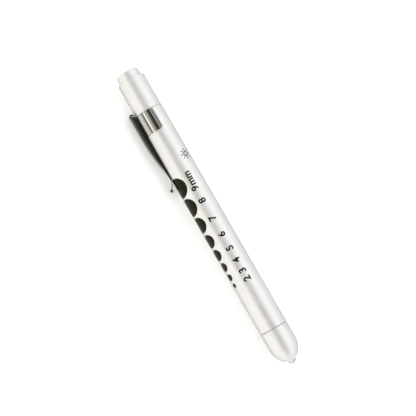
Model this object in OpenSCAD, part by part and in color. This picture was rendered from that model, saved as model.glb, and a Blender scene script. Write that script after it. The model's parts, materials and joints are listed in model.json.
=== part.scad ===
// Medical pen light with a pupil gauge, two AAA cells, a push switch in the tail cap and a pocket clip.
// +X runs along the pen towards the light, +Z is up, and the pen lies on its barrel and on its clip's bead.
// The origin is on the pen's axis, at the seam between the barrel and the nose cone.

/* [Barrel] */
// Outer diameter of the barrel
barrel_d = 12.2; // [12:0.1:14]
// Wall of the barrel's tube
barrel_wall = 0.7; // [0.6:0.05:0.8]
// Length of the barrel that the nose cone and the lamp take up
nose_depth = 7; // [6.5:0.1:9]
// Length of the barrel that the tail cap and the battery spring take up
tail_depth = 7.4; // [7.2:0.1:9]
// Gap between the end faces of two screwed parts
seam_gap = 0.12; // [0.05:0.01:0.3]
// Chamfer along each side of a seam
seam_chamfer = 0.2; // [0.1:0.05:0.3]

/* [Cells] */
// Diameter of one AAA cell
cell_d = 10.2; // [9.6:0.1:10.5]
// Length of one AAA cell over its nub
cell_l = 44.5; // [43.5:0.1:44.5]

/* [Screw threads] */
// Pitch of both threads
thread_pitch = 0.8; // [0.5:0.05:1]
// Turns that free a screwed part
thread_turns = 8; // [4:1:8]
// Wall of a threaded skirt
skirt_wall = 0.5; // [0.4:0.05:0.6]
// Radial clearance of a skirt in the barrel
skirt_clearance = 0.05; // [0.02:0.01:0.1]

/* [Nose cone] */
// Length of the nose cone in front of the seam
nose_l = 14.2; // [13:0.1:16]
// Length of the nose cone's straight part
nose_straight = 6.9; // [5:0.1:8]
// Radius of the nose cone's rounded outline
ogive_r = 10.14; // [9.9:0.01:12]
// Radius where the nose's flat rim ends
rim_r = 2.75; // [2.6:0.05:2.9]

/* [Lamp] */
// Diameter of the lens dome
lens_d = 3.9; // [3:0.1:4]
// Height of the lens tip over the nose's rim
lens_out = 2; // [1:0.1:2.5]
// Diameter of the hole that the lens looks out of
lens_hole_d = 4.2; // [4.1:0.05:4.5]

/* [Tail cap and button] */
// Diameter of the tail cap
cap_d = 12; // [11.8:0.1:12.1]
// Length of the tail cap behind the seam
cap_l = 15.3; // [15:0.1:18]
// Chamfer round the tail cap's rim
cap_chamfer = 0.3; // [0.1:0.05:0.4]
// Diameter of the push button
button_d = 9.9; // [9:0.1:9.9]
// Height of the push button over the rim
button_out = 3.5; // [2.6:0.1:4]
// Travel of the push button
button_travel = 2; // [1:0.1:2]
// Rounding of the push button's top edge
button_round = 0.8; // [0.2:0.1:1]

/* [Pocket clip] */
// Thickness of the clip's sheet steel
sheet_t = 0.4; // [0.3:0.05:0.45]
// Width of the band round the barrel, along the pen
band_w = 9.4; // [7:0.1:10]
// Angle that the band wraps round the barrel
band_wrap = 216; // [190:1:240]
// Height that the band stands over the barrel
band_proud = 0.15; // [0.1:0.05:0.2]
// Width of the clip's arm
arm_w = 5; // [4:0.1:6]
// Height of the arm's back over the barrel
arm_rise = 2.63; // [2.2:0.01:3.2]
// Distance from the seam to the arm's contact with the barrel
contact_from_seam = 29.9; // [27:0.1:34]
// Angle of the arm's sloping stretch
arm_slope = 10.5; // [9:0.5:12]
// Angle of the lip at the arm's end
lip_angle = 32; // [20:1:40]
// Diameter of the rolled bead at the lip's end
bead_d = 1.4; // [1:0.1:1.6]

/* [Hidden] */
$fn = 96;
eps = 0.01;

// barrel
barrel_r = barrel_d / 2;
bore_r = barrel_r - barrel_wall;
barrel_l = nose_depth + 2 * cell_l + tail_depth;
tail_seam_x = -barrel_l;
half_gap = seam_gap / 2;
thread_l = thread_pitch * thread_turns;
skirt_r = bore_r - skirt_clearance;
skirt_bore_r = skirt_r - skirt_wall;

// cells
front_cell_x = -nose_depth;
rear_cell_x = front_cell_x - cell_l;
cells_end_x = rear_cell_x - cell_l;
cell_r = cell_d / 2;
sleeve_t = 0.1;
can_r = cell_r - sleeve_t;
can_wall = 0.25;
can_inner_r = can_r - can_wall;
nub_r = 2.6;
nub_h = 1.1;
terminal_r = can_inner_r - 0.45;
terminal_t = 0.4;
seal_depth = 2.2;

// lamp
insert_r = skirt_bore_r - 0.05;
holder_back_x = front_cell_x + 0.6;
holder_front_x = 6.4;
holder_step_r = 3.2;
led_back_x = 8;
led_flange_r = 2.5;
led_flange_t = 1;
lens_r = lens_d / 2;
dome_x = nose_l + lens_out - lens_r;
lens_hole_r = lens_hole_d / 2;
lead_w = 0.45;
lead_apart = 1.27;
lead_front_x = dome_x - 2.4;
lead_bore_r = 1.5;
rim_cut_l = 0.8;
rim_cut_r = 1;
ring_contact_x = [2.6, 5.6];
ring_contact_t = 0.3;
rivet_shank_r = 0.8;
lamp_rivet_r = 1.6;
lamp_rivet_l = 2;
chip_r = 0.6;
chip_t = 0.35;

// tail cap and switch
cap_r = cap_d / 2;
rim_x = tail_seam_x - cap_l;
button_hole_r = button_d / 2 + 0.06;
web_t = 1;
web_x = rim_x + 6.1;
web_front_x = web_x + web_t;
plunger_r = 1.25;
plunger_hole_r = 1.4;
housing_back_x = web_front_x + 0.05;
housing_front_x = cells_end_x - 5.4;
housing_floor_t = 3.5;
housing_floor_x = housing_front_x - housing_floor_t;
housing_inner_r = 4;
contact_t = 0.4;
ring_contact_inner_r = 2.6;
contact_plane_x = housing_floor_x - contact_t;
moving_contact_x = contact_plane_x - 0.05 - button_travel;
moving_contact_r = 3.6;
tail_rivet_r = 1.5;

// push button
button_r = button_d / 2;
button_top_x = rim_x - button_out;
button_skirt_x = web_x - 0.5 - button_travel;
button_wall = 0.8;
button_top_t = 1;
boss_r = 2;
boss_depth = 4.6;
collar_r = 1.8;
collar_t = 0.8;

// springs, as wire diameter, turns, and centre-line radius at each end
battery_wire_d = 0.6;
battery_turns = 4.5;
battery_spring_r = [3.6, 2.2];
button_wire_d = 0.45;
button_turns = 6.5;
button_spring_r = [3.3, 3.3];
wire_sides = 8;
steps_per_turn = 20;

// clip, in heights over the pen's axis
band_r = barrel_r + band_proud;
recess_r = band_r - sheet_t - 0.02;
recess_margin = 0.15;
corner_r = 1.1;
corner_run_out = 0.05;
arm_top_h = barrel_r + arm_rise;
leg_h = cap_r + 0.2;
fold_r = (arm_top_h - sheet_t - leg_h) / 2;
fold_h = leg_h + sheet_t / 2 + fold_r;
fold_reach = 2.4;
root_depth = 1.6;
root_step = 0.3;
fold_x = tail_seam_x - fold_reach + fold_r + sheet_t / 2;
fold_w = arm_w - 2 * sheet_t - 0.1;
split_angle = 3;
flange_h = barrel_r - 0.05;
flange_set_back = 1;
flange_run_out = 2.5;
bow_x = tail_seam_x + band_w;
contact_x = tail_seam_x + contact_from_seam;
contact_h = barrel_r + 0.08;
approach_r = 18;
lip_r = 3;
lip_l = 2.6;

// the arm's bow is the arc that joins its level back to the slope before the contact
slope_end_x = contact_x - approach_r * sin(arm_slope);
slope_end_h = contact_h + sheet_t + approach_r * (1 - cos(arm_slope));
bow_r = (slope_end_h - arm_top_h + tan(arm_slope) * (slope_end_x - bow_x))
  / (tan(arm_slope) * sin(arm_slope) - 1 + cos(arm_slope));

// the lip's sheet, from the end of its arc to the bead
lip_arc_x = contact_x + (lip_r + sheet_t) * sin(lip_angle);
lip_arc_h = contact_h + (lip_r + sheet_t) * (1 - cos(lip_angle));
bead_x = lip_arc_x + lip_l * cos(lip_angle) - sheet_t / 2 * sin(lip_angle);
bead_h = lip_arc_h + lip_l * sin(lip_angle) + sheet_t / 2 * cos(lip_angle);

// the pen lies on the barrel and on the bead's outer corner, so the clip leans by this from straight down
bead_top_h = bead_h + bead_d / 2;
lie_angle = acos(barrel_r / norm([bead_top_h, arm_w / 2])) + atan2(arm_w / 2, bead_top_h);

// Points along an arc in the plane of the side outline.
function arc(x, h, r, from, to, steps = 12) =
  [for (i = [0:steps]) let (a = from + (to - from) * i / steps) [x + r * cos(a), h + r * sin(a)]];

// The arm's back, from the fold to the contact, moved by a depth square to the sheet.
function arm_back(depth) = concat(
  arc(fold_x, fold_h, fold_r + sheet_t / 2 - depth, 180 - split_angle, 90),
  arc(bow_x, arm_top_h - bow_r, bow_r - depth, 90, 90 - arm_slope),
  arc(contact_x, contact_h + sheet_t + approach_r, approach_r + depth, 270 - arm_slope, 270)
);

// One side of the lip, moved by a depth square to the sheet.
function lip_side(depth) = concat(
  arc(contact_x, contact_h + sheet_t + lip_r, lip_r + depth, 270, 270 + lip_angle),
  [[
    lip_arc_x + lip_l * cos(lip_angle) - (sheet_t - depth) * sin(lip_angle),
    lip_arc_h + lip_l * sin(lip_angle) + (sheet_t - depth) * cos(lip_angle),
  ]]
);

function reversed(points) = [for (i = [len(points) - 1:-1:0]) points[i]];

// Turns an outline about the pen's axis. The outline's first coordinate is a radius and its second is X.
module turned() {
  rotate([0, 90, 0]) rotate_extrude() children();
}

// A plain ring or disc about the pen's axis.
module ring(x0, x1, outer_r, inner_r = 0) {
  turned() translate([inner_r, x0]) square([outer_r - inner_r, x1 - x0]);
}

// Turns the clip's own frame, where the clip is on top, to the side that it leans to.
module toward_clip() {
  rotate([180 - lie_angle, 0, 0]) children();
}

// Extrudes a side outline across the clip's width.
module across(width) {
  rotate([90, 0, 0]) linear_extrude(height = width, center = true) children();
}

// A coil spring about the pen's axis, as a swept round wire.
module coil(x0, x1, radii, wire_d, turns) {
  steps = ceil(turns * steps_per_turn);
  travel = x1 - x0 - wire_d;
  points = [
    for (i = [0:steps], k = [0:wire_sides - 1])
      let (
        share = i / steps,
        around = 360 * turns * share,
        section = 360 * k / wire_sides,
        r = radii[0] + (radii[1] - radii[0]) * share + wire_d / 2 * cos(section),
        x = x0 + wire_d / 2 + travel * share + wire_d / 2 * sin(section)
      ) [x, r * cos(around), r * sin(around)]
  ];
  sides = [
    for (i = [0:steps - 1], k = [0:wire_sides - 1])
      let (a = i * wire_sides + k, b = i * wire_sides + (k + 1) % wire_sides)
        [a, b, b + wire_sides, a + wire_sides]
  ];
  first = [for (k = [wire_sides - 1:-1:0]) k];
  last = [for (k = [0:wire_sides - 1]) steps * wire_sides + k];
  polyhedron(points, concat([first], sides, [last]), convexity = 10);
}

// Cuts the corner off a sheet at a free edge, leaving it round.
module corner_cut(x, along, side) {
  translate([x, 0, 0]) scale([along, side, 1]) linear_extrude(height = 2 * barrel_r)
    polygon(concat(
      [[-1, -1], [corner_r, -1]],
      arc(corner_r, corner_r, corner_r + corner_run_out, 270, 180, 6),
      [[-1, corner_r]]
    ));
}

// The sheet of the band, or with a margin the recess that it lies in.
module band_sheet(inner_r, outer_r, margin) {
  half = band_wrap / 2 + margin / barrel_r * 180 / PI;
  back_x = tail_seam_x + (margin > 0 ? -1 : half_gap);
  front_x = tail_seam_x + band_w + margin;
  difference() {
    rotate([0, 90, 0]) rotate([0, 0, 180 - half]) rotate_extrude(angle = 2 * half)
      translate([inner_r, back_x]) square([outer_r - inner_r, front_x - back_x]);
    for (side = [-1, 1]) {
      rotate([-side * half, 0, 0]) {
        corner_cut(front_x, -1, -side);
        if (margin == 0) corner_cut(back_x, 1, -side);
      }
    }
  }
}

module barrel() {
  color("silver")
    difference() {
      turned() polygon([
        [bore_r, tail_seam_x + half_gap],
        [barrel_r - seam_chamfer, tail_seam_x + half_gap],
        [barrel_r, tail_seam_x + half_gap + seam_chamfer],
        [barrel_r, -half_gap - seam_chamfer],
        [barrel_r - seam_chamfer, -half_gap],
        [bore_r, -half_gap],
      ]);
      toward_clip() band_sheet(recess_r, barrel_r + 1, recess_margin);
    }
}

// The strip that rises from the band and turns back as the first half of the fold.
module fold_leg() {
  root_x = tail_seam_x + root_depth;
  step_x = tail_seam_x + half_gap + sheet_t / 4;
  difference() {
    across(fold_w) polygon(concat(
      [[root_x, fold_h / 2], [root_x, band_r - 0.1], [tail_seam_x + root_step, leg_h + sheet_t]],
      arc(fold_x, fold_h, fold_r - sheet_t / 2, 270, 180 + split_angle),
      arc(fold_x, fold_h, fold_r + sheet_t / 2, 180 + split_angle, 270),
      [[step_x, leg_h], [step_x, fold_h / 2]]
    ));
    ring(tail_seam_x, root_x + 1, band_r - sheet_t / 2);
  }
}

module clip_band() {
  color("gainsboro") toward_clip() {
    band_sheet(band_r - sheet_t, band_r, 0);
    fold_leg();
  }
}

module clip_arm() {
  flange_start_x = fold_x + flange_set_back;
  color("dimgray") toward_clip() {
    difference() {
      across(arm_w) polygon(concat(
        arm_back(0),
        [[contact_x, contact_h], [contact_x - flange_run_out, flange_h], [flange_start_x, flange_h]],
        [[fold_x, fold_h]],
        reversed(arc(fold_x, fold_h, fold_r - sheet_t / 2, 180 - split_angle, 150, 2))
      ));
      across(arm_w - 2 * sheet_t) polygon(concat(
        arm_back(sheet_t),
        [[contact_x, flange_h - 1], [fold_x - fold_r, flange_h - 1]]
      ));
    }
    across(arm_w) polygon(concat(lip_side(0), reversed(lip_side(sheet_t))));
    translate([bead_x, 0, bead_h]) rotate([90, 0, 0]) cylinder(d = bead_d, h = arm_w, center = true);
  }
}

// The steel can of a cell, whose nub's face is at x.
module cell_can(x) {
  color("lightgray") turned() polygon([
    [can_inner_r, x - nub_h],
    [can_r, x - nub_h],
    [can_r, x - cell_l],
    [0, x - cell_l],
    [0, x - cell_l + can_wall],
    [can_inner_r, x - cell_l + can_wall],
  ]);
}

// The active fill of a cell.
module cell_core(x) {
  color("#303030") ring(x - cell_l + can_wall, x - seal_depth, can_inner_r);
}

// The nylon seal between a cell's can and its terminal.
module cell_seal(x) {
  color("ivory") turned() polygon([
    [0, x - seal_depth],
    [can_inner_r, x - seal_depth],
    [can_inner_r, x - nub_h],
    [terminal_r, x - nub_h],
    [terminal_r, x - nub_h - terminal_t],
    [0, x - nub_h - terminal_t],
  ]);
}

// The plated positive terminal of a cell, with its nub.
module cell_terminal(x) {
  color("lightgray") turned() polygon([
    [0, x - nub_h - terminal_t],
    [terminal_r, x - nub_h - terminal_t],
    [terminal_r, x - nub_h],
    [nub_r, x - nub_h],
    [nub_r, x],
    [0, x],
  ]);
}

// The printed film round a cell.
module cell_sleeve(x) {
  color("darkslateblue") ring(x - cell_l + 0.3, x - nub_h - 0.1, cell_r, can_r);
}

module front_cell_can() { cell_can(front_cell_x); }
module front_cell_core() { cell_core(front_cell_x); }
module front_cell_seal() { cell_seal(front_cell_x); }
module front_cell_terminal() { cell_terminal(front_cell_x); }
module front_cell_sleeve() { cell_sleeve(front_cell_x); }
module rear_cell_can() { cell_can(rear_cell_x); }
module rear_cell_core() { cell_core(rear_cell_x); }
module rear_cell_seal() { cell_seal(rear_cell_x); }
module rear_cell_terminal() { cell_terminal(rear_cell_x); }
module rear_cell_sleeve() { cell_sleeve(rear_cell_x); }

module nose_cone() {
  color("silver") turned() difference() {
    union() {
      polygon([
        [0, half_gap],
        [barrel_r - seam_chamfer, half_gap],
        [barrel_r, half_gap + seam_chamfer],
        [barrel_r, nose_straight],
        [0, nose_straight],
      ]);
      intersection() {
        translate([barrel_r - ogive_r, nose_straight]) circle(r = ogive_r, $fn = 128);
        translate([0, nose_straight - eps]) square([barrel_r, nose_l - nose_straight + eps]);
      }
      translate([0, -thread_l]) square([skirt_r, thread_l + 1]);
    }
    translate([-eps, -thread_l - 1]) square([skirt_bore_r + eps, thread_l + 1 + holder_front_x + 0.1]);
    polygon([
      [-eps, holder_front_x],
      [skirt_bore_r, holder_front_x],
      [skirt_bore_r, holder_front_x + 0.1],
      [lens_hole_r + 0.7, led_back_x + led_flange_t + 0.5],
      [lens_hole_r, led_back_x + led_flange_t + 1.5],
      [lens_hole_r, nose_l + 1],
      [-eps, nose_l + 1],
    ]);
    polygon([
      [rim_r, nose_l + eps],
      [rim_r + rim_cut_r, nose_l - rim_cut_l],
      [rim_r + rim_cut_r, nose_l + eps],
    ]);
  }
}

module lamp_holder() {
  color("white") difference() {
    union() {
      ring(holder_back_x, holder_front_x, insert_r);
      ring(holder_front_x - eps, led_back_x, holder_step_r);
    }
    ring(holder_back_x + lamp_rivet_l, led_back_x + 1, lead_bore_r);
    ring(holder_back_x - 1, holder_back_x + lamp_rivet_l + eps, rivet_shank_r);
    ring(ring_contact_x[0], ring_contact_x[1], insert_r + 1, insert_r - ring_contact_t);
    translate([0, 0, lead_apart / 2]) lead_arm(0.05);
  }
}

// The arm of the outer lead, from its post to the ring contact.
module lead_arm(margin) {
  x = (ring_contact_x[0] + ring_contact_x[1]) / 2;
  reach = insert_r - ring_contact_t - lead_apart / 2;
  translate([x - lead_w / 2 - margin, -lead_w / 2 - margin, -lead_w / 2 - margin])
    cube([lead_w + 2 * margin, lead_w + 2 * margin, reach + lead_w / 2 - 0.02 + margin]);
}

module led_leads() {
  color("silver") {
    translate([holder_back_x + lamp_rivet_l, -lead_w / 2, -lead_apart / 2 - lead_w / 2])
      cube([lead_front_x - holder_back_x - lamp_rivet_l, lead_w, lead_w]);
    translate([ring_contact_x[0] + 1, -lead_w / 2, lead_apart / 2 - lead_w / 2])
      cube([lead_front_x - ring_contact_x[0] - 1, lead_w, lead_w]);
    translate([0, 0, lead_apart / 2]) lead_arm(0);
  }
}

module led_chip() {
  color("gold") translate([0, 0, -lead_apart / 2]) ring(lead_front_x, lead_front_x + chip_t, chip_r);
}

module led_lens() {
  color("aliceblue", 0.5) difference() {
    turned() {
      translate([0, led_back_x]) square([led_flange_r, led_flange_t]);
      translate([0, led_back_x]) square([lens_r, dome_x - led_back_x]);
      intersection() {
        translate([0, dome_x]) circle(r = lens_r);
        translate([0, dome_x - eps]) square([lens_r, lens_r + eps]);
      }
    }
    led_leads();
    led_chip();
  }
}

module lamp_ring_contact() {
  color("goldenrod") ring(ring_contact_x[0], ring_contact_x[1], insert_r, insert_r - ring_contact_t);
}

module lamp_centre_contact() {
  color("goldenrod") {
    ring(front_cell_x, holder_back_x, lamp_rivet_r);
    ring(holder_back_x - eps, holder_back_x + lamp_rivet_l, rivet_shank_r);
  }
}

module tail_cap() {
  color("silver") turned() polygon([
    [skirt_bore_r, tail_seam_x + thread_l],
    [skirt_r, tail_seam_x + thread_l],
    [skirt_r, tail_seam_x - half_gap],
    [cap_r - seam_chamfer, tail_seam_x - half_gap],
    [cap_r, tail_seam_x - half_gap - seam_chamfer],
    [cap_r, rim_x + cap_chamfer],
    [cap_r - cap_chamfer, rim_x],
    [button_hole_r, rim_x],
    [button_hole_r, web_x],
    [plunger_hole_r, web_x],
    [plunger_hole_r, web_front_x],
    [skirt_bore_r, web_front_x],
  ]);
}

module switch_housing() {
  color("#2b2b2b") difference() {
    ring(housing_back_x, housing_front_x, insert_r);
    ring(housing_back_x - 1, housing_floor_x, housing_inner_r);
    ring(housing_floor_x - 1, housing_front_x + 1, rivet_shank_r);
  }
}

module switch_ring_contact() {
  color("goldenrod") ring(contact_plane_x, housing_floor_x, housing_inner_r, ring_contact_inner_r);
}

module spring_rivet() {
  color("goldenrod") {
    ring(contact_plane_x, housing_floor_x, tail_rivet_r);
    ring(housing_floor_x - eps, housing_front_x + eps, rivet_shank_r);
    ring(housing_front_x, housing_front_x + contact_t, tail_rivet_r);
  }
}

module battery_spring() {
  color("silver") coil(housing_front_x, cells_end_x, battery_spring_r, battery_wire_d, battery_turns);
}

module push_button() {
  inner_top_x = button_top_x + button_top_t;
  color("silver") turned() polygon(concat(
    [[0, button_top_x]],
    arc(button_r - button_round, button_top_x + button_round, button_round, -90, 0, 8),
    [
      [button_r, button_skirt_x],
      [button_r - button_wall, button_skirt_x],
      [button_r - button_wall, inner_top_x],
      [boss_r, inner_top_x],
      [boss_r, inner_top_x + boss_depth],
      [plunger_r, inner_top_x + boss_depth],
      [plunger_r, inner_top_x + 1],
      [0, inner_top_x + 1],
    ]
  ));
}

module button_plunger() {
  color("whitesmoke") {
    ring(button_top_x + button_top_t + 1, moving_contact_x - contact_t, plunger_r);
    ring(web_front_x + 0.1, web_front_x + 0.1 + collar_t, collar_r);
    ring(moving_contact_x - contact_t - eps, moving_contact_x, plunger_r / 2);
  }
}

module moving_contact() {
  color("goldenrod") ring(moving_contact_x - contact_t, moving_contact_x, moving_contact_r, plunger_r / 2);
}

module button_spring() {
  color("lightgray")
    coil(button_top_x + button_top_t, web_x, button_spring_r, button_wire_d, button_turns);
}

barrel();
clip_band();
clip_arm();
front_cell_can();
front_cell_core();
front_cell_seal();
front_cell_terminal();
front_cell_sleeve();
rear_cell_can();
rear_cell_core();
rear_cell_seal();
rear_cell_terminal();
rear_cell_sleeve();
nose_cone();
lamp_holder();
lamp_ring_contact();
lamp_centre_contact();
led_lens();
led_leads();
led_chip();
tail_cap();
switch_housing();
switch_ring_contact();
spring_rivet();
battery_spring();
push_button();
button_plunger();
moving_contact();
button_spring();
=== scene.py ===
import json
import math

import bmesh
import bpy
from mathutils import Matrix, Vector


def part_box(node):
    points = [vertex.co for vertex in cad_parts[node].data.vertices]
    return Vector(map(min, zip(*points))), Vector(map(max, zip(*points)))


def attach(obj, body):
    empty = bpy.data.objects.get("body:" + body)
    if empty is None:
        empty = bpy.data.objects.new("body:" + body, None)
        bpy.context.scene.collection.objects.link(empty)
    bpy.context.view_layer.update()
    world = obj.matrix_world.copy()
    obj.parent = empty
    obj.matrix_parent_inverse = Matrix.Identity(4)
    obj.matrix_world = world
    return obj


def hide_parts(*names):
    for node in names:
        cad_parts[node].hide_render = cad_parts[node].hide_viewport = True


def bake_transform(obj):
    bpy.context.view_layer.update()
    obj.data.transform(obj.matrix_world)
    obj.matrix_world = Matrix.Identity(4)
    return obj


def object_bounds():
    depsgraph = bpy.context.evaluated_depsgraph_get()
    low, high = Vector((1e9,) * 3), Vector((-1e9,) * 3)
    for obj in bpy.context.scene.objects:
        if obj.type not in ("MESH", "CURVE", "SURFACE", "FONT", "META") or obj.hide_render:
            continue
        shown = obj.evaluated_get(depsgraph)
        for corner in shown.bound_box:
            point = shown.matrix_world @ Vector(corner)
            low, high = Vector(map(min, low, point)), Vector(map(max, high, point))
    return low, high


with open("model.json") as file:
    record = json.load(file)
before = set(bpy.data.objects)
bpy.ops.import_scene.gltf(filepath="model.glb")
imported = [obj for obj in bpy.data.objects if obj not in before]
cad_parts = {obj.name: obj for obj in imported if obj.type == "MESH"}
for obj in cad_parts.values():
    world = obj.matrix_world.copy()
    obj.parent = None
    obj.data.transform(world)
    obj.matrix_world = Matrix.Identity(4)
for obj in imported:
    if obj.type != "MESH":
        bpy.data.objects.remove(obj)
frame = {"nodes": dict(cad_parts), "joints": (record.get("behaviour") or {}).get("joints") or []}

CAD_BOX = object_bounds()
MM = 0.001

# The pen's frame: X runs to the light, TOP faces the viewer, and CLIP points from the axis to the clip.
X = Vector((1, 0, 0))
CLIP_FLEX = next(j for j in frame["joints"] if j["name"] == "clip_flex")
TOP = -Vector(CLIP_FLEX["axis"])
CLIP = X.cross(TOP)

# Radii, in metres
BARREL_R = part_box("barrel")[1].y
BORE_R = 5.4 * MM
SKIRT_BORE_R = 4.85 * MM
THREAD_ROOT_R = 5.15 * MM
THREAD_DEPTH = 0.2 * MM
THREAD_PITCH = 0.8 * MM
THREAD_LEAD_IN = 0.1 * MM
THREAD_RUN_OUT = 0.5 * MM
UNDERCUT_L = 0.3 * MM
CAP_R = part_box("tail_cap")[1].y
BUTTON_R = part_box("push_button")[1].y
LENS_R = 1.95 * MM
LENS_HOLE_R = 2.1 * MM
RECESS_R = 5.83 * MM
BAND_R = 6.25 * MM
SHEET_T = 0.4 * MM
TURNED_EDGE = 0.2 * MM
INK_R = BARREL_R + 0.012 * MM

# Stations along the pen, in metres
BARREL_TAIL_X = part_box("barrel")[0].x
BARREL_NOSE_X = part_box("barrel")[1].x
SKIRT_END_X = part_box("nose_cone")[0].x
NOSE_SEAM_X = -BARREL_NOSE_X
NOSE_END_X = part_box("nose_cone")[1].x
LENS_TIP_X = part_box("led_lens")[1].x
CAP_RIM_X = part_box("tail_cap")[0].x
CAP_SKIRT_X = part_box("tail_cap")[1].x
CAP_SEAM_X = BARREL_TAIL_X - 0.12 * MM
BUTTON_TOP_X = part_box("push_button")[0].x
BUTTON_SKIRT_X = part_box("push_button")[1].x

STEPS = 160


# ---------------------------------------------------------------- meshes

def on_axis(x, r, phi):
    """The point at radius r and angle phi, in degrees from TOP away from the clip."""
    a = math.radians(phi)
    return X * x + TOP * (r * math.cos(a)) - CLIP * (r * math.sin(a))


def in_clip(x, side, height):
    """A point in the clip's own frame: along the pen, across the clip, and over the pen's axis."""
    return X * x + TOP * side + CLIP * height


def finish_mesh(name, vertices, faces, material, sharp=35):
    """An object with smooth shading, whose edges past the angle stay sharp."""
    mesh = bpy.data.meshes.new(name)
    mesh.from_pydata([tuple(v) for v in vertices], [], faces)
    work = bmesh.new()
    work.from_mesh(mesh)
    bmesh.ops.remove_doubles(work, verts=work.verts, dist=1e-7)
    bmesh.ops.recalc_face_normals(work, faces=work.faces)
    work.to_mesh(mesh)
    work.free()
    mesh.shade_smooth()
    mesh.set_sharp_from_angle(angle=math.radians(sharp))
    mesh.materials.append(material)
    obj = bpy.data.objects.new(name, mesh)
    bpy.context.scene.collection.objects.link(obj)
    return obj


def loft(name, rows, material, round_rows=True, closed=False, ends=False, sharp=35):
    """A surface through rows of points.

    round_rows joins each row's ends, and closed joins the last row to the first.
    """
    width = len(rows[0])
    vertices = [point for row in rows for point in row]
    faces = []
    for i in range(len(rows) if closed else len(rows) - 1):
        for k in range(width if round_rows else width - 1):
            a = i * width + k
            b = i * width + (k + 1) % width
            c = (i + 1) % len(rows) * width
            faces.append((a, b, c + (k + 1) % width, c + k))
    if ends:
        faces.append(tuple(range(width)))
        faces.append(tuple(range(len(vertices) - 1, len(vertices) - width - 1, -1)))
    return finish_mesh(name, vertices, faces, material, sharp)


def eased(outline, radius, steps=3):
    """A closed outline of (x, r) whose corners off the axis are rounded."""
    points = []
    for i, corner in enumerate(outline):
        here = Vector(corner)
        before = Vector(outline[i - 1]) - here
        after = Vector(outline[(i + 1) % len(outline)]) - here
        straight = before.length < 1e-9 or after.length < 1e-9 or before.angle(after) > math.radians(160)
        if straight or here.y < 1e-6:
            points.append(tuple(here))
            continue
        reach = min(radius, before.length * 0.45, after.length * 0.45)
        first = here + before.normalized() * reach
        last = here + after.normalized() * reach
        for k in range(steps + 1):
            t = k / steps
            points.append(tuple(first * (1 - t) ** 2 + here * (2 * t * (1 - t)) + last * t ** 2))
    return points


def wave(x, phi):
    """Height of a right-hand thread, from 0 at its root to 1 at its crest."""
    turn = math.cos(2 * math.pi * (x / THREAD_PITCH + phi / 360))
    return 0.5 + 0.5 * max(-1, min(1, 1.5 * turn))


def thread(from_x, to_x, root_r, fade=0.5 * MM):
    """Outline points of a threaded stretch, as (x, root radius, share of the thread's depth)."""
    count = max(2, round(abs(to_x - from_x) / THREAD_PITCH * 10))
    points = []
    for i in range(count + 1):
        x = from_x + (to_x - from_x) * i / count
        share = min(1, abs(x - from_x) / fade, abs(to_x - x) / fade)
        points.append((x, root_r, share))
    return points


def lathe(name, outline, material, closed=True, sharp=35, steps=STEPS):
    """A solid of revolution. A point with a third value carries the thread."""
    rows = []
    for i in range(steps):
        phi = 360 * i / steps
        row = []
        for point in outline:
            r = point[1]
            if len(point) == 3:
                r += point[2] * THREAD_DEPTH * wave(point[0], phi)
            row.append(on_axis(point[0], r, phi))
        rows.append(row)
    return loft(name, rows, material, round_rows=closed, closed=True, sharp=sharp)


def tube(name, path, radius, material, sides=12):
    """A round wire along a path of points, with closed ends."""
    rows = []
    normal = None
    for i, here in enumerate(path):
        ahead = path[min(i + 1, len(path) - 1)] - path[max(i - 1, 0)]
        ahead.normalize()
        if normal is None:
            normal = ahead.orthogonal().normalized()
        normal = (normal - ahead * normal.dot(ahead)).normalized()
        other = ahead.cross(normal)
        ring = []
        for k in range(sides):
            a = 2 * math.pi * k / sides
            ring.append(here + normal * (radius * math.cos(a)) + other * (radius * math.sin(a)))
        rows.append(ring)
    return loft(name, rows, material, ends=True, sharp=60)


# ---------------------------------------------------------------- materials

def shader(name, **values):
    """A material with one Principled shader. Returns the material, its nodes, its links and its shader."""
    material = bpy.data.materials.new(name)
    material.use_nodes = True
    nodes = material.node_tree.nodes
    principled = nodes["Principled BSDF"]
    for socket, value in values.items():
        principled.inputs[socket.replace("_", " ")].default_value = value
    return material, nodes, material.node_tree.links, principled


def pattern(nodes, links, scale, stretch=(1, 1, 1), detail=3.0):
    """A pattern in the piece's own coordinates, in features per metre. Returns its output."""
    place = nodes.new("ShaderNodeTexCoord")
    mapping = nodes.new("ShaderNodeMapping")
    mapping.inputs["Scale"].default_value = stretch
    texture = nodes.new("ShaderNodeTexNoise")
    texture.inputs["Scale"].default_value = scale
    texture.inputs["Detail"].default_value = detail
    links.new(place.outputs["Object"], mapping.inputs["Vector"])
    links.new(mapping.outputs["Vector"], texture.inputs["Vector"])
    return texture.outputs["Fac"]


def spread(nodes, links, factor, low, high, start=0.35, end=0.65):
    """Maps a pattern to colours or to values, from low to high."""
    ramp = nodes.new("ShaderNodeMapRange" if isinstance(low, float) else "ShaderNodeValToRGB")
    if isinstance(low, float):
        ramp.inputs["From Min"].default_value = start
        ramp.inputs["From Max"].default_value = end
        ramp.inputs["To Min"].default_value = low
        ramp.inputs["To Max"].default_value = high
        links.new(factor, ramp.inputs["Value"])
        return ramp.outputs["Result"]
    ramp.color_ramp.elements[0].position = start
    ramp.color_ramp.elements[1].position = end
    ramp.color_ramp.elements[0].color = (*low, 1)
    ramp.color_ramp.elements[1].color = (*high, 1)
    links.new(factor, ramp.inputs["Fac"])
    return ramp.outputs["Color"]


def relief(nodes, links, principled, factor, strength, depth):
    """Raises the surface by a pattern, through the shader's normal."""
    bump = nodes.new("ShaderNodeBump")
    bump.inputs["Strength"].default_value = strength
    bump.inputs["Distance"].default_value = depth
    before = principled.inputs["Normal"].links
    if before:
        links.new(before[0].from_socket, bump.inputs["Normal"])
    links.new(factor, bump.inputs["Height"])
    links.new(bump.outputs["Normal"], principled.inputs["Normal"])


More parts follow.
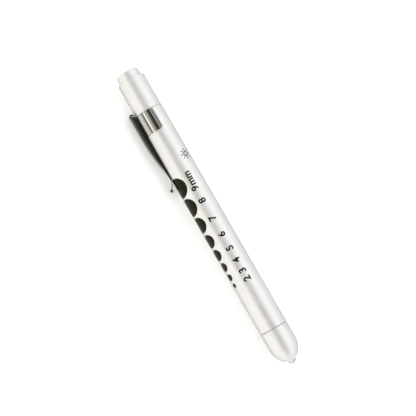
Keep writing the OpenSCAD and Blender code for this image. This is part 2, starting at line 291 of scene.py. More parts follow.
def satin_aluminium():
    """Bead-blasted and clear-anodised aluminium: fine grain, and faint handling marks in its gloss. Its
    near-black olive edge tint is painted shade on the grazing edges.
    """
    # Painted shade: the near-black olive edge tint (0.03, 0.05, 0.0) darkens the metal at grazing angles. It
    # stands in for the dark surroundings and contact shadow that its edges reflect.
    material, nodes, links, principled = shader(
        "satin_aluminium", Metallic=1.0, Specular_Tint=(0.03, 0.05, 0.0, 1))
    grain = pattern(nodes, links, 9000, detail=2.0)
    smudge = pattern(nodes, links, 260, stretch=(0.5, 1, 1), detail=4.0)
    links.new(
        spread(nodes, links, smudge, (0.78, 0.775, 0.76), (0.82, 0.815, 0.8)),
        principled.inputs["Base Color"],
    )
    links.new(spread(nodes, links, smudge, 0.48, 0.54), principled.inputs["Roughness"])
    relief(nodes, links, principled, grain, 0.12, 0.02 * MM)
    return material


def side_lines(nodes, links, scale):
    """Lines along the clip's strip, from the distance to the strip's middle. Returns its output."""
    place = nodes.new("ShaderNodeTexCoord")
    side = nodes.new("ShaderNodeVectorMath")
    side.operation = "DOT_PRODUCT"
    side.inputs[1].default_value = TOP
    texture = nodes.new("ShaderNodeTexNoise")
    texture.noise_dimensions = "1D"
    texture.inputs["Scale"].default_value = scale
    links.new(place.outputs["Object"], side.inputs[0])
    links.new(side.outputs["Value"], texture.inputs["W"])
    return texture.outputs["Fac"]


def clip_chrome(name, on_strip):
    """Chrome on stamped sheet: mirror gloss, with the strip's or the band's long draw marks in its relief.
    The same pattern paints dark streaks into its colour and darkens much of the sheet: a painted reflection
    of dark surroundings.
    """
    material, nodes, links, principled = shader(name, Metallic=1.0)
    if on_strip:
        draw_lines_and_reflection_streaks = side_lines(nodes, links, 1600)
    else:
        draw_lines_and_reflection_streaks = pattern(nodes, links, 2600, stretch=(0.01, 1, 1), detail=2.0)
    haze = pattern(nodes, links, 500, detail=3.0)
    # Painted reflection: the dark stop (0.16, 0.16, 0.13) paints dark streaks along the draw marks and
    # darkens much of the sheet. It stands in for the dark surroundings that the chrome reflects.
    links.new(
        spread(nodes, links, draw_lines_and_reflection_streaks, (0.16, 0.16, 0.13), (0.6, 0.59, 0.57), 0.4, 0.66),
        principled.inputs["Base Color"],
    )
    links.new(spread(nodes, links, haze, 0.05, 0.1), principled.inputs["Roughness"])
    relief(nodes, links, principled, draw_lines_and_reflection_streaks, 0.2, 0.01 * MM)
    return material


def gauge_ink():
    """Screen-printed gloss ink, a little uneven in thickness."""
    material, nodes, links, principled = shader(
        "gauge_ink", Specular_IOR_Level=0.14, Specular_Tint=(1, 0.95, 0.6, 1))
    flow = pattern(nodes, links, 1500, detail=3.0)
    links.new(
        spread(nodes, links, flow, (0.006, 0.006, 0.002), (0.012, 0.012, 0.005)),
        principled.inputs["Base Color"],
    )
    links.new(spread(nodes, links, flow, 0.14, 0.24), principled.inputs["Roughness"])
    relief(nodes, links, principled, flow, 0.06, 0.01 * MM)
    return material


def clear_lens():
    """Water-clear moulded epoxy."""
    material, nodes, links, principled = shader("clear_lens", Transmission_Weight=1.0, IOR=1.53)
    flow = pattern(nodes, links, 500, detail=2.0)
    links.new(
        spread(nodes, links, flow, (0.6, 0.61, 0.57), (0.72, 0.73, 0.69)),
        principled.inputs["Base Color"],
    )
    links.new(spread(nodes, links, flow, 0.02, 0.05), principled.inputs["Roughness"])
    return material


def metal(name, dark, light, rough_low, rough_high, scale, stretch=(1, 1, 1), strength=0.15):
    """A plated or turned metal, with marks of its working along one direction."""
    material, nodes, links, principled = shader(name, Metallic=1.0)
    marks = pattern(nodes, links, scale, stretch=stretch, detail=4.0)
    links.new(spread(nodes, links, marks, dark, light), principled.inputs["Base Color"])
    links.new(spread(nodes, links, marks, rough_low, rough_high), principled.inputs["Roughness"])
    relief(nodes, links, principled, marks, strength, 0.02 * MM)
    return material


def plastic(name, dark, light, rough_low, rough_high, scale, strength=0.2, **values):
    """A moulded plastic, powder or film, with an even texture."""
    material, nodes, links, principled = shader(name, **values)
    texture = pattern(nodes, links, scale, detail=4.0)
    links.new(spread(nodes, links, texture, dark, light), principled.inputs["Base Color"])
    links.new(spread(nodes, links, texture, rough_low, rough_high), principled.inputs["Roughness"])
    relief(nodes, links, principled, texture, strength, 0.02 * MM)
    return material


ALUMINIUM = satin_aluminium()
CHROME = clip_chrome("clip_chrome", False)
STRIP_CHROME = clip_chrome("strip_chrome", True)
INK = gauge_ink()
LENS = clear_lens()
PHOSPHOR = plastic("phosphor", (0.8, 0.6, 0.08), (0.95, 0.78, 0.2), 0.6, 0.8, 9000, 0.4)
TINNED = metal("tinned_lead", (0.62, 0.62, 0.6), (0.78, 0.78, 0.76), 0.2, 0.34, 5000)
NYLON = plastic("lamp_plastic", (0.78, 0.78, 0.73), (0.87, 0.87, 0.83), 0.4, 0.52, 3000)
ACETAL = plastic("switch_plastic", (0.012, 0.012, 0.014), (0.03, 0.03, 0.033), 0.32, 0.46, 4000)
BRASS = metal("brass_contact", (0.66, 0.47, 0.19), (0.82, 0.63, 0.3), 0.22, 0.36, 4000, (1, 0.1, 0.1))
SPRING = metal("spring_steel", (0.5, 0.5, 0.48), (0.7, 0.7, 0.68), 0.16, 0.28, 5000)
CAN_STEEL = metal("cell_steel", (0.6, 0.6, 0.58), (0.76, 0.76, 0.74), 0.2, 0.32, 3000, (1, 0.08, 0.08))
FILL = plastic("cell_fill", (0.01, 0.01, 0.01), (0.045, 0.045, 0.045), 0.75, 0.95, 12000, 0.5)
FILM = plastic("cell_film", (0.012, 0.02, 0.06), (0.02, 0.032, 0.085), 0.14, 0.22, 900, 0.05, Coat_Weight=0.4)


# ---------------------------------------------------------------- barrel

RECESS_HALF = 108 + math.degrees(0.15 * MM / BARREL_R)
RECESS_FRONT_X = BARREL_TAIL_X - 0.06 * MM + 9.55 * MM
SHEET_CORNER_R = 1.1 * MM
CORNER_STEPS = 8


def corner_angles(half, radius):
    """Angles from the clip's middle, through the round corners at both ends of a sheet of that half width."""
    angles = []
    for k in range(CORNER_STEPS + 1):
        inset = SHEET_CORNER_R * (1 - math.cos(math.pi / 2 * k / CORNER_STEPS))
        angles.append(half - math.degrees(inset / radius))
    return [-a for a in angles] + angles[::-1]


def corner_set_back(angle, half, radius):
    """How far a sheet's edge lies back from its straight line at this angle from the clip's middle."""
    inset = math.radians(half - abs(angle)) * radius
    if inset >= SHEET_CORNER_R:
        return 0
    return SHEET_CORNER_R - math.sqrt(max(0, SHEET_CORNER_R ** 2 - (SHEET_CORNER_R - inset) ** 2))


def make_barrel():
    edge = TURNED_EDGE
    inner = []
    for x, r, share in thread(BARREL_TAIL_X + 0.2 * MM, CAP_SKIRT_X + 0.4 * MM, BORE_R):
        inner.append((x, r, share))
    for x, r, share in thread(SKIRT_END_X - 0.4 * MM, BARREL_NOSE_X - 0.2 * MM, BORE_R):
        inner.append((x, r, share))
    whole = [360 * i / STEPS - 180 for i in range(STEPS)]
    rim = corner_angles(RECESS_HALF, BARREL_R)
    inside = [a for a in whole if abs(a) < RECESS_HALF - 0.3]
    outside = [a for a in whole if abs(a) > RECESS_HALF + 0.3]
    step = 0.02
    angles = [(a, True) for a in inside + rim]
    angles += [(a, False) for a in outside + [-RECESS_HALF - step, RECESS_HALF + step]]
    rows = []
    for angle, recessed in sorted(angles):
        phi = angle - 90
        front = BARREL_TAIL_X + edge
        outer = BARREL_R
        if recessed:
            front = max(front, RECESS_FRONT_X - corner_set_back(angle, RECESS_HALF, BARREL_R))
            outer = RECESS_R
        row = [
            on_axis(BARREL_NOSE_X, BORE_R, phi),
            on_axis(BARREL_NOSE_X, BARREL_R - edge, phi),
            on_axis(BARREL_NOSE_X - edge, BARREL_R, phi),
            on_axis(front, BARREL_R, phi),
            on_axis(front, outer, phi),
            on_axis(BARREL_TAIL_X + edge, outer, phi),
            on_axis(BARREL_TAIL_X, min(outer, BARREL_R - edge), phi),
            on_axis(BARREL_TAIL_X, BORE_R, phi),
        ]
        for x, r, share in inner:
            row.append(on_axis(x, r - share * THREAD_DEPTH * (1 - wave(x, phi)), phi))
        rows.append(row)
    barrel = loft("barrel_shell", rows, ALUMINIUM, closed=True, sharp=30)
    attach(barrel, "barrel")
    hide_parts("barrel")


# ---------------------------------------------------------------- gauge printing

DOT_PHI = -58.5
DOTS = {9: -68.8, 8: -59.6, 7: -51.25, 6: -43.6, 5: -37.1, 4: -31.5, 3: -26.7, 2: -22.9}
NUMERAL_PHI = 7
NUMERAL_H = 3.2 * MM
NINE_X = -65.4 * MM
SUN_X = -80 * MM
SUN_PHI = 47


def on_barrel(x, across):
    """A point of the printing, at that distance round the barrel from TOP."""
    return on_axis(x, INK_R, math.degrees(across / BARREL_R))


def ink_piece(name, vertices, faces):
    piece = finish_mesh(name, vertices, faces, INK, sharp=80)
    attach(piece, "barrel")


def disc(x, phi, radius, inner=0.0, rings=10, steps=72):
    """Points and faces of a printed disc or ring that lies on the barrel."""
    across = math.radians(phi) * BARREL_R
    vertices = []
    for i in range(rings + 1):
        r = inner + (radius - inner) * i / rings
        for k in range(steps):
            a = 2 * math.pi * k / steps
            vertices.append(on_barrel(x + r * math.cos(a), across + r * math.sin(a)))
    faces = []
    for i in range(rings):
        for k in range(steps):
            faces.append((i * steps + k, i * steps + (k + 1) % steps,
                          (i + 1) * steps + (k + 1) % steps, (i + 1) * steps + k))
    return vertices, faces


def make_dots():
    for size, x in DOTS.items():
        ink_piece(f"gauge_dot_{size}", *disc(x * MM, DOT_PHI, size * MM / 2))


def wrapped_text(name, words, height, x, phi):
    """Printed characters, centred at that station, that read towards the tail with their tops to the clip."""
    curve = bpy.data.curves.new(name, "FONT")
    curve.body = words
    curve.resolution_u = 6
    curve.offset = 0.03
    carrier = bpy.data.objects.new(name, curve)
    bpy.context.scene.collection.objects.link(carrier)
    bpy.context.view_layer.update()
    flat = bpy.data.meshes.new_from_object(carrier)
    bpy.data.objects.remove(carrier)
    work = bmesh.new()
    work.from_mesh(flat)
    low = Vector((min(v.co.x for v in work.verts), min(v.co.y for v in work.verts)))
    high = Vector((max(v.co.x for v in work.verts), max(v.co.y for v in work.verts)))
    for i in range(1, 24):
        level = low.y + (high.y - low.y) * i / 24
        parts = work.verts[:] + work.edges[:] + work.faces[:]
        bmesh.ops.bisect_plane(work, geom=parts, plane_co=(0, level, 0), plane_no=(0, 1, 0))
    scale = height / (high.y - low.y)
    middle = (low + high) / 2
    across = math.radians(phi) * BARREL_R
    work.verts.index_update()
    vertices = []
    for v in work.verts:
        along = (v.co.x - middle.x) * scale
        up = (v.co.y - middle.y) * scale
        vertices.append(on_barrel(x - along, across - up))
    faces = [tuple(v.index for v in f.verts) for f in work.faces]
    work.free()
    ink_piece(name, vertices, faces)


def make_numerals():
    for size, x in DOTS.items():
        place = NINE_X if size == 9 else x * MM
        wrapped_text(f"numeral_{size}", str(size), NUMERAL_H, place, NUMERAL_PHI)
    wrapped_text("numeral_unit", "mm", 2.2 * MM, -70 * MM, NUMERAL_PHI + 3.5)


def make_sun():
    """A plain sign for a light: a ring with eight rays."""
    ring_r = 1.15 * MM
    vertices, faces = disc(SUN_X, SUN_PHI, ring_r, inner=ring_r - 0.45 * MM, rings=3, steps=48)
    middle = math.radians(SUN_PHI) * BARREL_R
    half = 0.21 * MM
    ray_r, ray_l = 1.5 * MM, 0.85 * MM
    for k in range(8):
        a = math.pi / 4 * k
        base = len(vertices)
        for step in range(4):
            r = ray_r + ray_l * step / 3
            for side in (-half, half):
                along = r * math.cos(a) - side * math.sin(a)
                around = r * math.sin(a) + side * math.cos(a)
                vertices.append(on_barrel(SUN_X + along, middle + around))
        for step in range(3):
            a0 = base + 2 * step
            faces.append((a0, a0 + 1, a0 + 3, a0 + 2))
    ink_piece("light_sign", vertices, faces)


# ---------------------------------------------------------------- nose cone and lamp

NOSE_STRAIGHT_X = 6.9 * MM
OGIVE_R = 10.14 * MM


def make_nose():
    rim_l, rim_r = 0.8 * MM, 2.75 * MM
    hole_back_x = 10.5 * MM
    cone_front_x, cone_back_x = 9.5 * MM, 6.5 * MM
    cone_front_r = LENS_HOLE_R + 0.7 * MM
    outline = [(NOSE_SEAM_X, BARREL_R - TURNED_EDGE), (NOSE_SEAM_X + TURNED_EDGE, BARREL_R)]
    outline.append((NOSE_STRAIGHT_X * 0.5, BARREL_R))
    lip_x = NOSE_END_X - rim_l
    for i in range(25):
        x = NOSE_STRAIGHT_X + (lip_x - NOSE_STRAIGHT_X) * i / 24
        r = BARREL_R - OGIVE_R + math.sqrt(OGIVE_R ** 2 - (x - NOSE_STRAIGHT_X) ** 2)
        outline.append((x, r))
    outline += eased([
        (lip_x, outline[-1][1]),
        (NOSE_END_X, rim_r),
        (NOSE_END_X, LENS_HOLE_R),
        (hole_back_x, LENS_HOLE_R),
        (cone_front_x, cone_front_r),
        (cone_back_x, SKIRT_BORE_R),
        (SKIRT_END_X, SKIRT_BORE_R),
        (SKIRT_END_X, THREAD_ROOT_R),
    ], 0.12 * MM)[1:]
    outline += thread(SKIRT_END_X + THREAD_LEAD_IN, NOSE_SEAM_X - THREAD_RUN_OUT, THREAD_ROOT_R)
    outline.append((NOSE_SEAM_X - UNDERCUT_L, THREAD_ROOT_R))
    outline.append((NOSE_SEAM_X, THREAD_ROOT_R))
    nose = lathe("nose_shell", outline, ALUMINIUM, sharp=30)
    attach(nose, "nose_cone")
    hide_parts("nose_cone")


def make_lens():
    back_x, flange_r, flange_t = 8 * MM, 2.5 * MM, 1 * MM
    back_edge, edge = 0.15 * MM, 0.1 * MM
    front_x = back_x + flange_t
    dome_x = LENS_TIP_X - LENS_R
    outline = [(back_x, 0), (back_x, flange_r - back_edge), (back_x + back_edge, flange_r)]
    outline += [(front_x - edge, flange_r), (front_x, flange_r - edge)]
    outline += [(front_x, LENS_R + edge), (front_x + edge, LENS_R)]
    for i in range(25):
        a = math.pi / 2 * i / 24
        outline.append((dome_x + LENS_R * math.sin(a), LENS_R * math.cos(a)))
    lens = lathe("lens_body", outline, LENS, closed=False, sharp=50, steps=96)
    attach(lens, "lamp_module")
    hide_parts("led_lens")


def make_leads():
    """The lamp's two square leads. One carries a cup for the chip, and one turns out to the ring contact."""
    apart, half = 0.635 * MM, 0.225 * MM
    bend_x, bend_z, rise = 4.1 * MM, 1.1 * MM, 0.2 * MM
    front_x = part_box("led_leads")[1].x
    back_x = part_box("led_leads")[0].x
    out_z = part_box("led_leads")[1].z
    paths = {
        "lead_centre": [(back_x, -apart), (front_x, -apart)],
        "lead_ring": [(bend_x, out_z), (bend_x, bend_z), (bend_x + rise, apart), (front_x, apart)],
    }
    for name, path in paths.items():
        rows = []
        for i, (x, z) in enumerate(path):
            before, after = Vector(path[max(i - 1, 0)]), Vector(path[min(i + 1, len(path) - 1)])
            ahead = (after - before).normalized()
            side = Vector((-ahead.y, ahead.x)) * half
            rows.append([
                Vector((x + side.x, -half, z + side.y)),
                Vector((x + side.x, half, z + side.y)),
                Vector((x - side.x, half, z - side.y)),
                Vector((x - side.x, -half, z - side.y)),
            ])
        lead = loft(name, rows, TINNED, ends=True, sharp=30)
        bevel = lead.modifiers.new("edges", "BEVEL")
        bevel.width = 0.05 * MM
        bevel.segments = 2
        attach(lead, "lamp_module")
        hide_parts("led_leads")
    cup_rim_x = front_x + 0.45 * MM
    cup_floor_x = front_x + 0.02 * MM
    cup = lathe("lead_cup", [
        (front_x - 0.5 * MM, 0.45 * MM),
        (cup_rim_x, 1.0 * MM),
        (cup_rim_x, 0.88 * MM),
        (cup_floor_x, 0.66 * MM),
        (cup_floor_x, 0.0),
    ], TINNED, closed=False, steps=48)
    cup.data.transform(Matrix.Translation((0, 0, -apart)))
    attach(cup, "lamp_module")


# ---------------------------------------------------------------- tail cap and button

def make_cap():
    web_x = CAP_RIM_X + 6.1 * MM
    web_front_x = web_x + 1 * MM
    rim_edge = 0.3 * MM
    hole_r = BUTTON_R + 0.06 * MM
    plunger_hole_r = 1.4 * MM
    outline = eased([
        (CAP_SEAM_X, CAP_R - TURNED_EDGE),
        (CAP_SEAM_X - TURNED_EDGE, CAP_R),
        (CAP_RIM_X + rim_edge, CAP_R),
        (CAP_RIM_X, CAP_R - rim_edge),
        (CAP_RIM_X, hole_r),
        (web_x, hole_r),
        (web_x, plunger_hole_r),
        (web_front_x, plunger_hole_r),
        (web_front_x, SKIRT_BORE_R),
        (CAP_SKIRT_X, SKIRT_BORE_R),
        (CAP_SKIRT_X, THREAD_ROOT_R),
    ], 0.06 * MM)
    outline += thread(CAP_SKIRT_X - THREAD_LEAD_IN, CAP_SEAM_X + THREAD_RUN_OUT, THREAD_ROOT_R)
    outline.append((CAP_SEAM_X + UNDERCUT_L, THREAD_ROOT_R))
    outline.append((CAP_SEAM_X, THREAD_ROOT_R))
    cap = lathe("cap_shell", outline, ALUMINIUM, sharp=30)
    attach(cap, "tail_cap")
    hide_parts("tail_cap")


def make_button():
    corner = 0.8 * MM
    wall = 0.8 * MM
    boss_r, boss_l = 2 * MM, 4.6 * MM
    socket_r = 1.25 * MM
    inner_x = BUTTON_TOP_X + 1 * MM
    boss_end_x = inner_x + boss_l
    socket_x = inner_x + 1 * MM
    outline = [(BUTTON_TOP_X, 0)]
    for i in range(11):
        a = math.pi / 2 * i / 10
        outline.append((
            BUTTON_TOP_X + corner * (1 - math.cos(a)),
            BUTTON_R - corner + corner * math.sin(a),
        ))
    outline += eased([
        (BUTTON_TOP_X + 2 * corner, BUTTON_R),
        (BUTTON_SKIRT_X, BUTTON_R),
        (BUTTON_SKIRT_X, BUTTON_R - wall),
        (inner_x, BUTTON_R - wall),
        (inner_x, boss_r),
        (boss_end_x, boss_r),
        (boss_end_x, socket_r),
        (socket_x, socket_r),
        (socket_x, 0),
    ], 0.08 * MM)
    button = lathe("button_shell", outline, ALUMINIUM, closed=False, sharp=30)
    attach(button, "push_button")
    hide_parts("push_button")


# ---------------------------------------------------------------- pocket clip

BAND_HALF = 108
BAND_BACK_X = BARREL_TAIL_X
BAND_FRONT_X = BARREL_TAIL_X - 0.06 * MM + 9.4 * MM
ARM_W = 5 * MM
ARM_TOP_H = 8.73 * MM
FOLD_W = 4.1 * MM
FOLD_H = 7.465 * MM
FOLD_X = -104.535 * MM
FOLD_MID_R = 1.065 * MM
LEG_H = 6.4 * MM
CONTACT_X = -73.5 * MM
CONTACT_H = 6.18 * MM
APPROACH_R = 18 * MM
ARM_SLOPE = math.radians(10.5)
BOW_X = BAND_FRONT_X
LIP_R = 3 * MM
LIP_ANGLE = math.radians(32)
LIP_L = 2.6 * MM
BEAD_R = 0.7 * MM
SHEET_EDGE = 0.07 * MM
FLANGE_H = 6.05 * MM


def make_band():
    spread_angles = [BAND_HALF * (i / 40 - 1) for i in range(81)]
    rim = corner_angles(BAND_HALF, BAND_R)
    inside = [a for a in spread_angles if abs(a) < BAND_HALF - 10.6]
    rows = []
    for angle in sorted(inside + rim):
        back = corner_set_back(angle, BAND_HALF, BAND_R)
        low, high = BAND_BACK_X + back, BAND_FRONT_X - back
        inner_r = BAND_R - SHEET_T
        section = eased([(low, BAND_R), (high, BAND_R), (high, inner_r), (low, inner_r)], SHEET_EDGE)
        rows.append([on_axis(x, r, angle - 90) for x, r in section])
    band = loft("clip_band_sheet", rows, CHROME, ends=True, sharp=50)
    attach(band, "barrel")
    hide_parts("clip_band")


def strip_section(point, normal, half, depth, edge):
    """A closed section across a strip, with eased edges. The point is on its outer face.

    eased() leaves corners on an axis sharp, so the section is eased one metre off it and moved back.
    """
    off = 1
    section = eased([(-half, off), (half, off), (half, off + depth), (-half, off + depth)], edge)
    points = []
    for side, d in section:
        inward = d - off
        points.append(in_clip(point[0] - normal[0] * inward, side, point[1] - normal[1] * inward))
    return points


def make_fold():
    """The strip that rises from the band and turns back into the arm, which takes up the arm's flexing."""
    half_t = SHEET_T / 2
    root_x = BARREL_TAIL_X + 1.7 * MM
    root_h, root_l = 6.1 * MM, 1.6 * MM
    path = []
    for i in range(9):
        t = i / 8
        ease = t * t * (3 - 2 * t)
        path.append((root_x - t * root_l, root_h + ease * (LEG_H - root_h)))
    for i in range(13):
        a = math.radians(270 - 90 * i / 12)
        path.append((FOLD_X + FOLD_MID_R * math.cos(a), FOLD_H + FOLD_MID_R * math.sin(a)))
    rows = []
    for i, (x, h) in enumerate(path):
        before, after = path[max(i - 1, 0)], path[min(i + 1, len(path) - 1)]
        ahead = Vector((after[0] - before[0], after[1] - before[1])).normalized()
        normal = Vector((ahead.y, -ahead.x))
        face = (x + normal.x * half_t, h + normal.y * half_t)
        rows.append(strip_section(face, normal, FOLD_W / 2, SHEET_T, SHEET_EDGE))
    fold = loft("clip_fold", rows, STRIP_CHROME, ends=True, sharp=50)
    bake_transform(fold)
    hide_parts("clip_band")


def arm_path():
    """Stations of the arm's outer face from the fold to the lip: place along, height and tilt."""
    slope_end_x = CONTACT_X - APPROACH_R * math.sin(ARM_SLOPE)
    slope_end_h = CONTACT_H + SHEET_T + APPROACH_R * (1 - math.cos(ARM_SLOPE))
    bow_r = (slope_end_h - ARM_TOP_H + math.tan(ARM_SLOPE) * (slope_end_x - BOW_X)) / (
        math.tan(ARM_SLOPE) * math.sin(ARM_SLOPE) - 1 + math.cos(ARM_SLOPE))
    points = []
    fold_r = ARM_TOP_H - FOLD_H
    near_x = FOLD_X + 1.2 * MM
    for i in range(16):
        a = math.pi / 2 * (1 - i / 16)
        points.append((FOLD_X - fold_r * math.sin(a), FOLD_H + fold_r * math.cos(a), a))
    for i in range(9):
        points.append((FOLD_X + (near_x - FOLD_X) * i / 8, ARM_TOP_H, 0.0))
    for i in range(1, 9):
        points.append((near_x + (BOW_X - near_x) * i / 8, ARM_TOP_H, 0.0))
    for i in range(1, 13):
        a = ARM_SLOPE * i / 12
        points.append((BOW_X + bow_r * math.sin(a), ARM_TOP_H - bow_r * (1 - math.cos(a)), -a))
    start_x, start_h, _ = points[-1]
    for i in range(1, 8):
        t = i / 8
        h = start_h + (slope_end_h - start_h) * t
        points.append((start_x + (slope_end_x - start_x) * t, h, -ARM_SLOPE))
    for i in range(9):
        a = ARM_SLOPE * (1 - i / 8)
        h = CONTACT_H + SHEET_T + APPROACH_R * (1 - math.cos(a))
        points.append((CONTACT_X - APPROACH_R * math.sin(a), h, -a))
    for i in range(1, 11):
        a = LIP_ANGLE * i / 10
        h = CONTACT_H + SHEET_T + LIP_R * (1 - math.cos(a))
        points.append((CONTACT_X + LIP_R * math.sin(a), h, a))
    return points


def arm_depth(x, h, upright):
    """Depth of the arm's side flanges at a station, down to the sheet alone along the lip."""
    hub_depth = ARM_TOP_H - FOLD_H - 0.08 * MM
    flange_from = FOLD_X + 1 * MM
    flange_to = CONTACT_X - 2.5 * MM
    if x < FOLD_X:
        depth = hub_depth
    elif x < flange_from:
        t = (x - FOLD_X) / (flange_from - FOLD_X)
        depth = hub_depth + (h - FLANGE_H - hub_depth) * math.sqrt(1 - (1 - t) ** 2)
    elif x < flange_to:
        depth = (h - FLANGE_H) / upright
    elif x < CONTACT_X:
        t = (x - flange_to) / (CONTACT_X - flange_to)
        depth = (h - FLANGE_H) / upright * (1 - t) + SHEET_T * t
    else:
        depth = SHEET_T
    return max(depth, SHEET_T)


def quarter(half, top, radius, steps):
    """Points of one rounded corner, from the side at that half width to the top, as (side, depth)."""
    points = []
    for k in range(steps + 1):
        a = math.pi / 2 * k / steps
        points.append((half - radius * (1 - math.cos(a)), top + radius * (1 - math.sin(a))))
    return points


def channel_section(depth):
    """The arm's closed section, a channel with rounded corners, as (side, depth)."""
    half = ARM_W / 2
    outer_r = min(0.55 * MM, depth * 0.45)
    inner_r = min(0.2 * MM, (depth - SHEET_T) * 0.45)
    outer = [(half, depth)] + quarter(half, 0, outer_r, 6)
    inner_half = half - SHEET_T
    inner = [(inner_half, depth)] + quarter(inner_half, SHEET_T, inner_r, 4)
    section = [(-side, d) for side, d in outer] + outer[::-1]
    return section + inner + [(-side, d) for side, d in inner[::-1]]


def make_arm():
    rows = []
    for x, h, tilt in arm_path():
        normal = Vector((-math.sin(tilt), math.cos(tilt)))
        section = channel_section(arm_depth(x, h, normal.y))
        rows.append([in_clip(x - normal.x * d, side, h - normal.y * d) for side, d in section])
    x, h, tilt = arm_path()[-1]
    ahead = Vector((math.cos(tilt), math.sin(tilt)))
    lip_start = rows[-1]
    for i in range(1, 7):
        reach = ahead * (LIP_L * i / 6)
        rows.append([point + X * reach.x + CLIP * reach.y for point in lip_start])
    arm = loft("clip_arm_sheet", rows, STRIP_CHROME, ends=True, sharp=50)
    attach(arm, "clip_arm")
    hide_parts("clip_arm")
    make_bead(x + ahead.x * LIP_L + SHEET_T / 2 * ahead.y, h + ahead.y * LIP_L - SHEET_T / 2 * ahead.x)


def make_bead(x, h):
    """The rolled bead along the lip's edge."""
    half = ARM_W / 2
    outline = eased([(-half, 0), (-half, BEAD_R), (half, BEAD_R), (half, 0)], 0.3 * MM, steps=6)
    rows = []
    for i in range(40):
        a = 2 * math.pi * i / 40
        rows.append([in_clip(x + r * math.cos(a), side, h + r * math.sin(a)) for side, r in outline])
    bead = loft("clip_bead", rows, STRIP_CHROME, round_rows=False, closed=True, sharp=50)
    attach(bead, "clip_arm")


# ---------------------------------------------------------------- springs and cells

def coil_path(x0, x1, r0, r1, wire_r, turns):
    """A compression spring's path, whose end turns lie flat."""
    path = []
    steps = round(turns * 40)
    for i in range(steps + 1):
        t = i / steps
        turn = turns * t
        rise = max(0.0, min(1.0, (turn - 0.8) / (turns - 1.6)))
        x = x0 + wire_r * 1.05 + (x1 - x0 - 2.1 * wire_r) * (0.92 * rise + 0.08 * t)
        path.append(on_axis(x, r0 + (r1 - r0) * t, 360 * turn))
    return path


def make_springs():
    low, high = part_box("battery_spring")
    wire_r = 0.3 * MM
    path = coil_path(low.x, high.x, 3.6 * MM, 2.2 * MM, wire_r, 4.5)
    spring = tube("cell_spring", path, wire_r, SPRING)
    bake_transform(spring)
    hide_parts("battery_spring")
    low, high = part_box("button_spring")
    coil_r, wire_r = 3.3 * MM, 0.225 * MM
    path = coil_path(low.x, high.x, coil_r, coil_r, wire_r, 6.5)
    spring = tube("return_spring", path, wire_r, SPRING)
    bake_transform(spring)
    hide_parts("button_spring")


def make_cell(which):
    low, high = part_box(which + "_cell_sleeve")
    can_low, can_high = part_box(which + "_cell_can")
    film_r = high.y
    can_r = film_r - 0.1 * MM
    body = lathe(which + "_cell_film", [
        (can_low.x + 0.05 * MM, can_r - 0.9 * MM),
        (can_low.x + 0.02 * MM, can_r - 0.5 * MM),
        (can_low.x + 0.12 * MM, can_r - 0.1 * MM),
        (can_low.x + 0.4 * MM, film_r),
        (low.x + 10 * MM, film_r),
        (low.x + 10.1 * MM, film_r),
        (high.x - 0.3 * MM, film_r),
        (high.x, can_r - 0.15 * MM),
        (high.x + 0.06 * MM, can_r - 0.6 * MM),
    ], FILM, closed=False, sharp=60, steps=96)
    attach(body, "barrel")
    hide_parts(which + "_cell_sleeve")
    nub_low, nub_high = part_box(which + "_cell_terminal")
    nub = lathe(which + "_cell_nub", [
        (nub_low.x, 0),
        (nub_low.x, can_r - 0.7 * MM),
        (can_high.x, can_r - 0.7 * MM),
        (can_high.x, 2.9 * MM),
        (can_high.x + 0.12 * MM, 2.66 * MM),
        (nub_high.x - 0.3 * MM, 2.56 * MM),
        (nub_high.x - 0.08 * MM, 2.45 * MM),
        (nub_high.x, 2.2 * MM),
        (nub_high.x, 0),
    ], CAN_STEEL, closed=False, sharp=60, steps=96)
    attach(nub, "barrel")
    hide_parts(which + "_cell_terminal")


# ---------------------------------------------------------------- kept CAD nodes

KEPT = {
    "front_cell_can": CAN_STEEL, "rear_cell_can": CAN_STEEL,
    "front_cell_core": FILL, "rear_cell_core": FILL,
    "front_cell_seal": NYLON, "rear_cell_seal": NYLON,
    "lamp_holder": NYLON, "lamp_ring_contact": BRASS, "lamp_centre_contact": BRASS,
    "led_chip": PHOSPHOR,
    "switch_housing": ACETAL, "switch_ring_contact": BRASS, "spring_rivet": BRASS,
    "button_plunger": NYLON, "moving_contact": BRASS,
}


def dress_kept_nodes():
    for name, material in KEPT.items():
        slots = frame["nodes"][name].material_slots
        for slot in slots:
            slot.material = material


# ---------------------------------------------------------------- studio

def make_floor():
    low = CAD_BOX[0].z
    reach = 3.0
    material, nodes, links, principled = shader("floor", Roughness=0.9)
    mottle = pattern(nodes, links, 4, detail=2.0)
    links.new(
        spread(nodes, links, mottle, (0.94, 0.94, 0.935), (0.96, 0.96, 0.955)),
        principled.inputs["Base Color"],
    )
    principled.inputs["Emission Color"].default_value = (1, 1, 1, 1)
    principled.inputs["Emission Strength"].default_value = 0.3
    rows = [[Vector((x, y, low)) for y in (-reach, reach)] for x in (-reach, reach)]
    loft("floor", rows, material, round_rows=False)


# Angle from TOP in degrees, brightness and warmth
TENT = [
    (-89, 0.05, 0.2), (-64, 0.1, 0.2), (-55, 1.2, 0.25), (-49, 2.1, 0.06), (-41, 1.8, 0.06),
    (-33, 1.15, 0.04), (-26, 1.1, 0.04), (-18, 0.75, 0.04), (-10, 0.42, 0.03), (-4, 0.06, 0.0),
    (5, 0.06, 0.0), (12, 0.75, 0.0), (24, 1.2, 0.0), (36, 1.3, 0.0), (50, 1.5, -0.03),
    (62, 1.4, -0.05), (74, 1.2, -0.03), (89, 0.9, 0.0),
]


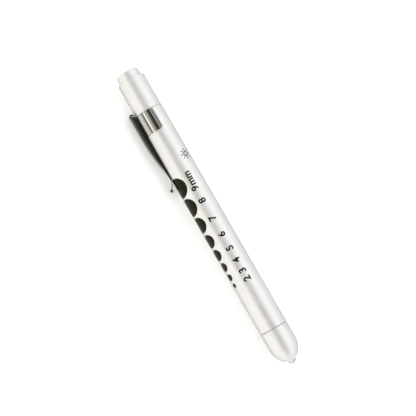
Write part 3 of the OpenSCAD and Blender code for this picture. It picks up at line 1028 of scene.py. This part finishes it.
def make_tent():
    """A light tent round the pen, whose brightness changes with the angle from TOP about the pen's axis.

    The tent lights the pen, and the view past the floor's end is a plain pale wall.
    """
    world = bpy.data.worlds.new("tent")
    world.use_nodes = True
    nodes, links = world.node_tree.nodes, world.node_tree.links
    way = nodes.new("ShaderNodeTexCoord")
    parts = []
    for direction in (-CLIP, TOP):
        dot = nodes.new("ShaderNodeVectorMath")
        dot.operation = "DOT_PRODUCT"
        dot.inputs[1].default_value = direction
        links.new(way.outputs["Generated"], dot.inputs[0])
        parts.append(dot.outputs["Value"])
    angle = nodes.new("ShaderNodeMath")
    angle.operation = "ARCTAN2"
    links.new(parts[0], angle.inputs[0])
    links.new(parts[1], angle.inputs[1])
    place = nodes.new("ShaderNodeMapRange")
    place.inputs["From Min"].default_value = -math.pi / 2
    place.inputs["From Max"].default_value = math.pi / 2
    links.new(angle.outputs["Value"], place.inputs["Value"])
    ramp = nodes.new("ShaderNodeValToRGB")
    stops = ramp.color_ramp.elements
    stops.remove(stops[-1])
    for i, (degrees, brightness, warmth) in enumerate(TENT):
        position = 0.5 + degrees / 180
        stop = stops.new(position) if i else stops[0]
        stop.position = position
        stop.color = (brightness, brightness * (1 - 0.3 * warmth), brightness * (1 - warmth), 1)
    links.new(place.outputs["Result"], ramp.inputs["Fac"])
    links.new(ramp.outputs["Color"], nodes["Background"].inputs["Color"])
    wall = nodes.new("ShaderNodeBackground")
    wall.inputs["Color"].default_value = (0.93, 0.93, 0.92, 1)
    seen = nodes.new("ShaderNodeLightPath")
    choice = nodes.new("ShaderNodeMixShader")
    links.new(seen.outputs["Is Camera Ray"], choice.inputs["Fac"])
    links.new(nodes["Background"].outputs["Background"], choice.inputs[1])
    links.new(wall.outputs["Background"], choice.inputs[2])
    links.new(choice.outputs["Shader"], nodes["World Output"].inputs["Surface"])
    bpy.context.scene.world = world


CAMERA_DISTANCE = 521 * MM
CAMERA_FOOT_X = -10 * MM
CAMERA_SHIFT = 1.26 * MM
CAMERA_TILT = math.radians(5.07)
IMAGE_TURN = math.radians(60.08)


def make_camera():
    data = bpy.data.cameras.new("camera")
    data.lens = 109.6
    data.clip_start = 0.01
    camera = bpy.data.objects.new("camera", data)
    bpy.context.scene.collection.objects.link(camera)
    place = X * CAMERA_FOOT_X + TOP * CAMERA_DISTANCE - CLIP * CAMERA_SHIFT
    back = TOP * math.cos(CAMERA_TILT) + X * math.sin(CAMERA_TILT)
    along = (X - back * X.dot(back)).normalized()
    right = along * math.cos(IMAGE_TURN) - CLIP * math.sin(IMAGE_TURN)
    up = back.cross(right)
    camera.matrix_world = Matrix((
        (right.x, up.x, back.x, place.x),
        (right.y, up.y, back.y, place.y),
        (right.z, up.z, back.z, place.z),
        (0, 0, 0, 1),
    ))
    bpy.context.scene.camera = camera


make_barrel()
make_dots()
make_numerals()
make_sun()
make_nose()
make_lens()
make_leads()
make_cap()
make_button()
make_band()
make_fold()
make_arm()
make_springs()
make_cell("front")
make_cell("rear")
dress_kept_nodes()
make_floor()
make_tent()
make_camera()
bpy.context.scene.view_settings.view_transform = "Standard"
